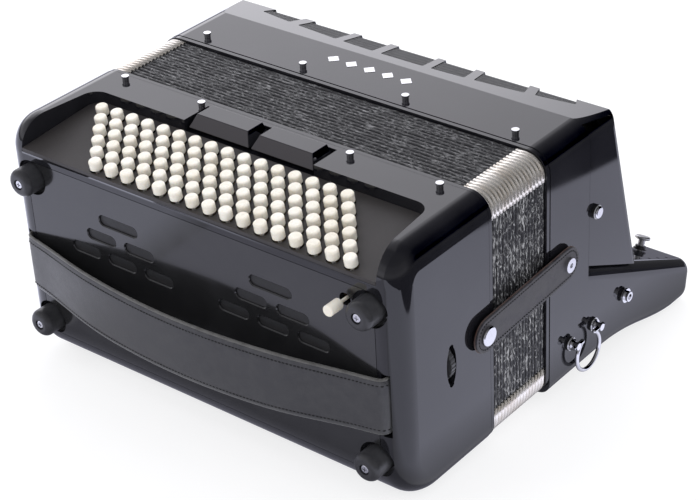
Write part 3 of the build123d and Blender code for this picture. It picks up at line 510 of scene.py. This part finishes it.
def perimeter(half_x, low_z, high_z, radius, y, arc_steps=10, straight_steps=1):
    """A rounded rectangle round the bellows axis, as (origin, outward, along Y) stations."""
    stations = []
    corners = (
        (half_x - radius, high_z - radius, 0),
        (-half_x + radius, high_z - radius, 90),
        (-half_x + radius, low_z + radius, 180),
        (half_x - radius, low_z + radius, 270),
    )
    for index, (cx, cz, start) in enumerate(corners):
        for step in range(arc_steps + 1):
            angle = math.radians(start + 90 * step / arc_steps)
            out = Vector((math.cos(angle), 0, math.sin(angle)))
            stations.append((Vector((cx, y, cz)) + out * radius, out, along_y))
        after = corners[(index + 1) % 4]
        turn = math.radians(start + 90)
        out = Vector((math.cos(turn), 0, math.sin(turn)))
        first = Vector((cx, y, cz)) + out * radius
        final = Vector((after[0], y, after[1])) + out * radius
        for step in range(1, straight_steps):
            stations.append((first.lerp(final, step / straight_steps), out, along_y))
    return stations


# ---------------------------------------------------------------------------------------------
# Bellows: cloth ridges, zigzag panels and metal corner guards
# ---------------------------------------------------------------------------------------------
fold_low, fold_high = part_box("bellows_folds")
guard_low, guard_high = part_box("bellows_corner_guards")
bellows_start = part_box("treble_bellows_frame")[0].y
bellows_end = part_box("bass_bellows_frame")[1].y
fold_count = 17
fold_pitch = (bellows_start - bellows_end) / fold_count


def hold(piece):
    """Bake the piece's placement into its mesh."""
    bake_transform(piece)


def spread(piece):
    """Bake the piece's placement into its mesh."""
    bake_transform(piece)


def ridge_section(width, depth, rounding=5, bulge=0.6):
    """A rounded cap, as (outward, along Y) points, with its crown at 0 and its root at -depth."""
    points = []
    radius = width / 2
    for step in range(rounding + 1):
        angle = math.pi * step / rounding
        points.append((radius * bulge * (math.sin(angle) - 1), radius * math.cos(angle)))
    points.append((-depth, -radius * 0.75))
    points.append((-depth, radius * 0.75))
    return points


def cloth_ridge(index, y):
    """The cloth-covered edge of one fold, slightly wrinkled."""
    rng = random.Random(300 + index)
    builder = bmesh.new()
    inset = 0.2 * mm
    corner = 19.5 * mm
    depth = 5 * mm
    stations = perimeter(
        fold_high.x - inset, fold_low.z + inset, fold_high.z - inset, corner, y, 8, 90
    )
    path = []
    lift = 0.0
    lean = 0.0
    for origin, out, along in stations:
        lift = 0.75 * lift + rng.uniform(-0.11, 0.11) * mm
        lean = 0.8 * lean + rng.uniform(-0.10, 0.10) * mm
        path.append((origin + out * lift + along * lean, out, along))
    sweep(builder, path, ridge_section(fold_pitch * 0.86, depth))
    return as_object(f"bellows_ridge_{index + 1:02d}", builder, finish["bellows_cloth"])


def cloth_panels(index, y_first, y_last):
    """The two card-and-cloth panels behind one ridge."""
    builder = bmesh.new()
    thickness = 0.35 * mm
    deep = 20 * mm
    shallow = 4 * mm
    outset = 0.6 * mm
    corner = 21 * mm
    middle = (y_first + y_last) / 2
    half = (y_first - y_last) / 2
    section = [
        (-deep, half - thickness * 0.2),
        (-shallow, thickness),
        (-shallow, -thickness),
        (-deep, -half + thickness * 0.2),
        (-deep - thickness, -half + thickness * 0.2),
        (-shallow - 1.2 * mm, 0),
        (-deep - thickness, half - thickness * 0.2),
    ]
    stations = perimeter(
        fold_high.x + outset, fold_low.z - outset, fold_high.z + outset, corner, middle, 6
    )
    sweep(builder, stations, section)
    return as_object(f"bellows_panel_{index + 1:02d}", builder, finish["bellows_cloth"], smooth=False)


def corner_guard(index, y):
    """Four bent metal corners clipped over one ridge, each a rounded channel."""
    builder = bmesh.new()
    radius = 17.6 * mm
    steps = 12
    wall = 0.4 * mm
    end_leg = 8 * mm
    top_leg = 4 * mm
    bottom_leg = 11 * mm
    cap = ridge_section(fold_pitch * 0.94, 4.5 * mm, 8, 0.85)
    inside = [(a * 0.82 - wall, b * 0.8) for a, b in reversed(cap)]
    lips = [(a, b * 0.7) for a, b in cap[-2:]]
    section = cap[:-1] + lips[:1] + inside[2:] + lips[1:] + cap[-1:]
    middle_z = (guard_low.z + guard_high.z) / 2
    half_x = guard_high.x - radius
    half_z = (guard_high.z - guard_low.z) / 2 - radius
    for corner in range(4):
        start = 90 * corner
        centre = Vector((
            half_x * (1 if corner in (0, 3) else -1), y, middle_z + half_z * (1 if corner < 2 else -1)
        ))
        path = []
        for end in (0, 1):
            angle = math.radians(start + 90 * end)
            out = Vector((math.cos(angle), 0, math.sin(angle)))
            tangent = Vector((math.sin(angle), 0, -math.cos(angle))) * (1 if end == 0 else -1)
            leg = end_leg
            if abs(out.x) > 0.5:
                leg = top_leg if corner < 2 else bottom_leg
            path.append((centre + out * radius + tangent * leg, out, along_y))
            if end == 0:
                for step in range(steps + 1):
                    turn = math.radians(start + 90 * step / steps)
                    normal = Vector((math.cos(turn), 0, math.sin(turn)))
                    path.append((centre + normal * radius, normal, along_y))
        sweep(builder, path, section, closed_path=False)
    return as_object(f"bellows_guard_{index + 1:02d}", builder, finish["guard_metal"])


for index in range(fold_count):
    y_first = bellows_start - index * fold_pitch
    y_last = y_first - fold_pitch
    middle = (y_first + y_last) / 2
    ridge = cloth_ridge(index, middle)
    panels = cloth_panels(index, y_first, y_last)
    guards = corner_guard(index, middle)
    hold(ridge)
    hold(guards)
    spread(panels)
    if index == 0:
        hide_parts("bellows_folds")
        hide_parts("bellows_corner_guards")


# ---------------------------------------------------------------------------------------------
# Leather straps
# ---------------------------------------------------------------------------------------------
def smooth_path(points, count):
    """Evenly spaced points on a Catmull-Rom curve through the given ones."""
    dense = []
    ends = [points[0] * 2 - points[1]] + points + [points[-1] * 2 - points[-2]]
    for i in range(1, len(ends) - 2):
        a, b, c, d = ends[i - 1 : i + 3]
        for step in range(24):
            t = step / 24
            dense.append(0.5 * (
                2 * b + (c - a) * t
                + (2 * a - 5 * b + 4 * c - d) * t**2
                + (3 * b - a - 3 * c + d) * t**3
            ))
    dense.append(points[-1])
    lengths = [0.0]
    for first, second in zip(dense, dense[1:]):
        lengths.append(lengths[-1] + (second - first).length)
    even = []
    i = 0
    for k in range(count):
        target = lengths[-1] * k / (count - 1)
        while i < len(lengths) - 2 and lengths[i + 1] < target:
            i += 1
        share = (target - lengths[i]) / max(lengths[i + 1] - lengths[i], 1e-9)
        even.append(dense[i].lerp(dense[i + 1], share))
    return even


def strap_section(width, thickness, crown):
    """A padded band's outline as (through, across): flat back, crowned front, thin rolled edges."""
    def half_thickness(u):
        return thickness * 0.5 * (1 - max(0.0, abs(u) - 0.93) * 6)

    points = []
    steps = 14
    for step in range(steps + 1):
        u = -1 + 2 * step / steps
        points.append((half_thickness(u) + crown * (1 - u**4), u * width / 2))
    for step in range(steps + 1):
        u = 1 - 2 * step / steps
        points.append((-half_thickness(u), u * width / 2))
    return points


def stitch_row(name, spots, length, body):
    """Short raised thread dashes; spots holds (place, along, outward)."""
    builder = bmesh.new()
    radius = 0.42 * mm
    stand = 0.25 * mm
    for place, along, outward in spots:
        side = along.cross(outward).normalized()
        path = []
        for step in range(5):
            u = -1 + 2 * step / 4
            sink = radius * 1.3 * u**2
            spot = place + along * (u * length / 2) - outward * (sink - stand)
            path.append((spot, outward, side))
        sweep(builder, path, round_section(radius, 6), closed_path=False)
    piece = as_object(name, builder, thread_material)
    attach(piece, body)


def hand_strap():
    """The padded leather band across the bass plate, held at both ends inside the casing."""
    low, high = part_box("hand_strap")
    end_x = high.x - 1.5 * mm
    bend_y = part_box("bass_plate")[0].y - 2.6 * mm
    middle_y = low.y + 1.5 * mm
    end_z = 98 * mm
    middle_z = 97 * mm
    thickness = 3.2 * mm
    seam_inset = 5.2 * mm
    stitch_length = 2.3 * mm
    half = [
        Vector((end_x, high.y, end_z)),
        Vector((end_x, bend_y + 9 * mm, end_z)),
        Vector((end_x - 0.4 * mm, bend_y + 3 * mm, end_z)),
        Vector((end_x - 5.5 * mm, bend_y - 0.8 * mm, end_z)),
        Vector((end_x - 30 * mm, bend_y - 6.0 * mm, end_z)),
        Vector((100 * mm, middle_y + 8.0 * mm, 97.5 * mm)),
        Vector((50 * mm, middle_y + 2.2 * mm, middle_z)),
    ]
    mirrored = [Vector((-p.x, p.y, p.z)) for p in half]
    points = mirrored + [Vector((0, middle_y, middle_z))] + list(reversed(half))
    stations = smooth_path(points, 260)
    up = Vector((0, 0, 1))
    builder = bmesh.new()
    rows = []
    stitches = []
    piping = []
    for i, place in enumerate(stations):
        before = stations[max(i - 1, 0)]
        after = stations[min(i + 1, len(stations) - 1)]
        along = (after - before).normalized()
        outward = along.cross(up).normalized()
        # 0 in the padded middle, 1 in the flat ends
        ease = min(1.0, max(0.0, (abs(place.x) - 70 * mm) / (110 * mm)))
        ease = ease * ease * (3 - 2 * ease)
        width = (54 - 4 * ease) * mm
        crown = (1.5 - 1.1 * ease) * mm
        ripple = 0.35 * mm * math.sin(place.x * 61) * math.sin(place.x * 23 + 1)
        section = strap_section(width, thickness, crown)
        rows.append([
            builder.verts.new(place + outward * (a + ripple * (1 - (2 * b / width) ** 2)) + up * b)
            for a, b in section
        ])
        if 3 < i < len(stations) - 4:
            piping.append((place + up * (width / 2 - 0.4 * mm) + outward * 0.5 * mm, outward, up))
        if i % 2 == 0 and 4 < i < len(stations) - 5:
            for side in (-1, 1):
                seam = width / 2 - seam_inset
                rise = thickness / 2 + crown * (1 - (seam / (width / 2)) ** 4)
                stitches.append((place + outward * rise + up * (side * seam), along, outward))
    skin(builder, rows)
    band = as_object("hand_strap_leather", builder, finish["strap_leather"])
    soften = band.modifiers.new("soften", "SUBSURF")
    soften.levels = 1
    soften.render_levels = 1
    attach(band, "bass")
    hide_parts("hand_strap")
    stitch_row("hand_strap_stitches", stitches, stitch_length, "bass")
    builder = bmesh.new()
    sweep(builder, piping, round_section(1.2 * mm, 8), closed_path=False)
    edge = as_object("hand_strap_piping", builder, piping_material)
    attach(edge, "bass")


def round_ended(run, radius):
    """A strap's outline as (along, across) points: sides of length run between half-round ends."""
    outline = []
    for step in range(17):
        angle = math.pi / 2 + math.pi * step / 16
        outline.append((radius * math.cos(angle), radius * math.sin(angle)))
    for step in range(1, 24):
        outline.append((run * step / 24, -radius))
    for step in range(17):
        angle = -math.pi / 2 + math.pi * step / 16
        outline.append((run + radius * math.cos(angle), radius * math.sin(angle)))
    for step in range(23, 0, -1):
        outline.append((run * step / 24, radius))
    return outline


def bellows_strap(end, side):
    """A stitched leather strap with round ends, on a paler backing layer, from screw to snap."""
    body = f"bellows_strap_{end}"
    low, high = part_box(body)
    width = 30 * mm
    backing = 0.9 * mm
    seam_inset = 3.4 * mm
    stitch_length = 2.0 * mm
    # How far each level of a layer, as a share of its thickness, is tucked in for a rounded rim
    levels = ((0.0, 0.25 * mm), (0.15, 0.0), (0.8, 0.0), (1.0, 0.45 * mm))
    out = Vector((side, 0, 0))
    screw_low, screw_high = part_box("strap_screws")
    snap_low, snap_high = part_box(f"snap_{end}")
    screw = Vector((0, (screw_low.y + screw_high.y) / 2, (screw_low.z + screw_high.z) / 2))
    snap = Vector((0, (snap_low.y + snap_high.y) / 2, (snap_low.z + snap_high.z) / 2))
    inner_x = min(abs(low.x), abs(high.x))
    outer_x = max(abs(low.x), abs(high.x))
    along = (snap - screw).normalized()
    across = out.cross(along)
    run = (snap - screw).length
    layers = (
        ("backing", inner_x, inner_x + backing, 0.0, raw_edge),
        ("face", inner_x + backing, outer_x, 0.5 * mm, end_strap_leather),
    )
    for label, bottom, top, inset, material in layers:
        radius = width / 2 - inset
        builder = bmesh.new()
        rings = []
        for share, tuck in levels:
            shrink = 1 - tuck / radius
            ring = []
            for a, b in round_ended(run, radius):
                side_a = min(max(a, 0.0), run)
                inward_a = side_a + (a - side_a) * shrink
                place = screw + along * inward_a + across * (b * shrink)
                place.x = side * (bottom + (top - bottom) * share)
                ring.append(builder.verts.new(place))
            rings.append(ring)
        skin(builder, rings)
        piece = as_object(f"bellows_strap_{end}_{label}", builder, material, smooth=False)
        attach(piece, body)
        if label == "face":
            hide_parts(body)
    spots = []
    seam = width / 2 - seam_inset
    steps = 38
    for step in range(steps):
        for sign in (-1, 1):
            place = screw + along * (run * (step + 0.5) / steps) + across * (sign * seam)
            place.x = side * outer_x
            spots.append((place, along, out))
    for centre, start in ((screw, 90), (snap, -90)):
        for step in range(13):
            angle = math.radians(start + 180 * (step + 0.5) / 13)
            radial = along * math.cos(angle) + across * math.sin(angle)
            place = centre + radial * seam
            place.x = side * outer_x
            tangent = out.cross(radial)
            spots.append((place, tangent, out))
    stitch_row(f"bellows_strap_{end}_stitches", spots, stitch_length, body)


hand_strap()
bellows_strap("top", 1)
bellows_strap("bottom", -1)


# ---------------------------------------------------------------------------------------------
# Felt strips and gaskets
# ---------------------------------------------------------------------------------------------
def felt_ring(node, body):
    """A soft gasket ring that stands for a CAD gasket."""
    low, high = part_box(node)
    builder = bmesh.new()
    middle = (low.y + high.y) / 2
    half = (high.y - low.y) / 2
    corner = 16 * mm
    section = [(0, half * 0.8), (-1 * mm, half), (-7 * mm, half), (-8 * mm, half * 0.8)]
    section += [(a, -b) for a, b in reversed(section)]
    sweep(builder, perimeter(high.x, low.z, high.z, corner, middle), section)
    piece = as_object(f"{node}_felt", builder, finish["felt"])
    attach(piece, body)
    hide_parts(node)


def felt_strip():
    """The soft strip that the keys land on, tilted with the key bed."""
    low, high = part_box("key_felt")
    # The key bed's slope, as in the part's source
    slope = math.radians(25.64)
    along = Vector((0, math.cos(slope), -math.sin(slope)))
    up = Vector((0, math.sin(slope), math.cos(slope)))
    middle = (low + high) / 2
    half_width = 8.7 * mm
    half_height = 1.0 * mm
    section = [
        (-half_width, -half_height),
        (half_width, -half_height),
        (half_width, half_height * 0.4),
        (half_width * 0.95, half_height),
        (-half_width * 0.95, half_height),
        (-half_width, half_height * 0.4),
    ]
    path = []
    for step in range(41):
        x = low.x + (high.x - low.x) * step / 40
        path.append((Vector((x, middle.y, middle.z)), along, up))
    builder = bmesh.new()
    sweep(builder, path, section, closed_path=False)
    piece = as_object("key_felt_strip", builder, finish["felt"], smooth=False)
    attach(piece, "treble")
    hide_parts("key_felt")


felt_strip()
felt_ring("bass_gasket", "bass")
felt_ring("treble_gasket", "treble")


# ---------------------------------------------------------------------------------------------
# Floor, light and camera
# ---------------------------------------------------------------------------------------------
back_radius = 43.7 * mm
floor_gap = 0.6 * mm
casing_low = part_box("bass_casing")[0]
wing_low, wing_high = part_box("treble_casing")
rest_front = casing_low.y + back_radius
rest_back = wing_high.y - 12 * mm
tilt = math.atan2(-wing_low.z, rest_back - rest_front)
floor_builder = bmesh.new()
bmesh.ops.create_grid(floor_builder, x_segments=8, y_segments=8, size=6.0)
floor = as_object("floor", floor_builder, pale_floor(), smooth=False)
floor.matrix_world = (
    Matrix.Translation(Vector((0, rest_front, -floor_gap))) @ Matrix.Rotation(-tilt, 4, "X")
)


def studio_world():
    """White to the camera, soft and even to matte surfaces, and a panel in a dark room to shiny ones."""
    world = bpy.data.worlds.new("studio")
    bpy.context.scene.world = world
    world.use_nodes = True
    tree = world.node_tree
    tree.nodes.clear()
    output = tree.nodes.new("ShaderNodeOutputWorld")

    def background(colour, strength):
        node = tree.nodes.new("ShaderNodeBackground")
        node.inputs["Color"].default_value = (*colour, 1)
        if isinstance(strength, bpy.types.NodeSocket):
            tree.links.new(strength, node.inputs["Strength"])
        else:
            node.inputs["Strength"].default_value = strength
        return node.outputs[0]

    def blend(factor, first, second):
        node = tree.nodes.new("ShaderNodeMixShader")
        tree.links.new(factor, node.inputs[0])
        tree.links.new(first, node.inputs[1])
        tree.links.new(second, node.inputs[2])
        return node.outputs[0]

    def compute(operation, first, second=0.0):
        node = tree.nodes.new("ShaderNodeMath")
        node.operation = operation
        for socket, value in zip(node.inputs, (first, second)):
            if isinstance(value, bpy.types.NodeSocket):
                tree.links.new(value, socket)
            else:
                socket.default_value = value
        return node.outputs[0]

    def curve(value, stops):
        """A smooth brightness curve through (degrees, brightness) stops, level beyond -90 and 90."""
        brightest = 4.0
        node = tree.nodes.new("ShaderNodeFloatCurve")
        held = compute("MINIMUM", compute("MAXIMUM", value, -90.0), 90.0)
        tree.links.new(compute("DIVIDE", compute("ADD", held, 90.0), 180.0), node.inputs["Value"])
        line = node.mapping.curves[0]
        places = [((degrees + 90) / 180, level / brightest) for degrees, level in stops]
        line.points[0].location = places[0]
        line.points[1].location = places[-1]
        for place in places[1:-1]:
            line.points.new(*place)
        node.mapping.update()
        return compute("MULTIPLY", node.outputs[0], brightest)

    direction = tree.nodes.new("ShaderNodeTexCoord").outputs["Generated"]
    axes = tree.nodes.new("ShaderNodeSeparateXYZ")
    tree.links.new(direction, axes.inputs[0])
    to_degrees = 180 / math.pi
    leftward = compute("MULTIPLY", axes.outputs["X"], -1.0)
    sideways = compute("MULTIPLY", compute("ARCTAN2", leftward, axes.outputs["Y"]), to_degrees)
    height = compute("MULTIPLY", compute("ARCSINE", axes.outputs["Z"]), to_degrees)
    across_stops = (
        (-90, 0.10), (15, 0.12), (27, 0.50), (34, 0.86), (48, 1.0), (70, 0.9), (90, 0.3)
    )
    up_stops = (
        (-90, 0.0), (2, 0.3), (12, 2.6), (24, 1.85), (29, 1.75), (34, 1.6), (48, 0.6), (90, 0.25)
    )
    dark_room = 0.10
    panel = compute("MULTIPLY", curve(sideways, across_stops), curve(height, up_stops))
    panel = compute("ADD", panel, dark_room)
    rays = tree.nodes.new("ShaderNodeLightPath")
    lit = background((0.95, 0.96, 1.0), 0.95)
    mirrored = background((0.95, 0.94, 1.0), panel)
    shown = background((1.0, 1.0, 1.0), 1.0)
    picture = blend(rays.outputs["Is Glossy Ray"], lit, mirrored)
    tree.links.new(blend(rays.outputs["Is Camera Ray"], picture, shown), output.inputs["Surface"])


studio_world()


def softbox(name, place, target, width, height, power, colour=(1, 1, 1)):
    """A rectangular area light aimed at a point and left out of reflections."""
    light = bpy.data.lights.new(name, "AREA")
    light.shape = "RECTANGLE"
    light.size = width
    light.size_y = height
    light.energy = power
    light.color = colour
    lamp = bpy.data.objects.new(name, light)
    bpy.context.scene.collection.objects.link(lamp)
    lamp.location = place
    lamp.visible_glossy = False
    lamp.rotation_euler = (Vector(target) - Vector(place)).to_track_quat("-Z", "Y").to_euler()


softbox("overhead", (-0.9, 1.5, 1.6), (0, 0, 0.15), 2.2, 1.2, 26, (0.93, 0.94, 1.0))
softbox("key", (-1.2, -1.6, 1.8), (0, -0.1, 0.1), 1.2, 1.2, 16)
softbox("fill", (1.9, 0.2, 1.2), (0, 0, 0.1), 1.0, 1.4, 8)

camera_data = bpy.data.cameras.new("camera")
camera_data.sensor_width = 36
camera_data.lens = 103.07
camera_data.shift_x = -0.0493
camera_data.shift_y = 0.0059
camera = bpy.data.objects.new("camera", camera_data)
bpy.context.scene.collection.objects.link(camera)
camera_place = Vector((0.9359, -1.1420, 0.9541))
azimuth = math.radians(39.08)
elevation = math.radians(31.39)
roll = math.radians(-2.6)
backward = Vector((
    math.sin(azimuth) * math.cos(elevation),
    -math.cos(azimuth) * math.cos(elevation),
    math.sin(elevation),
))
aim = backward.to_track_quat("Z", "Y").to_matrix().to_4x4()
camera.matrix_world = Matrix.Translation(camera_place) @ aim @ Matrix.Rotation(roll, 4, "Z")
bpy.context.scene.camera = camera
bpy.context.scene.view_settings.view_transform = "Standard"
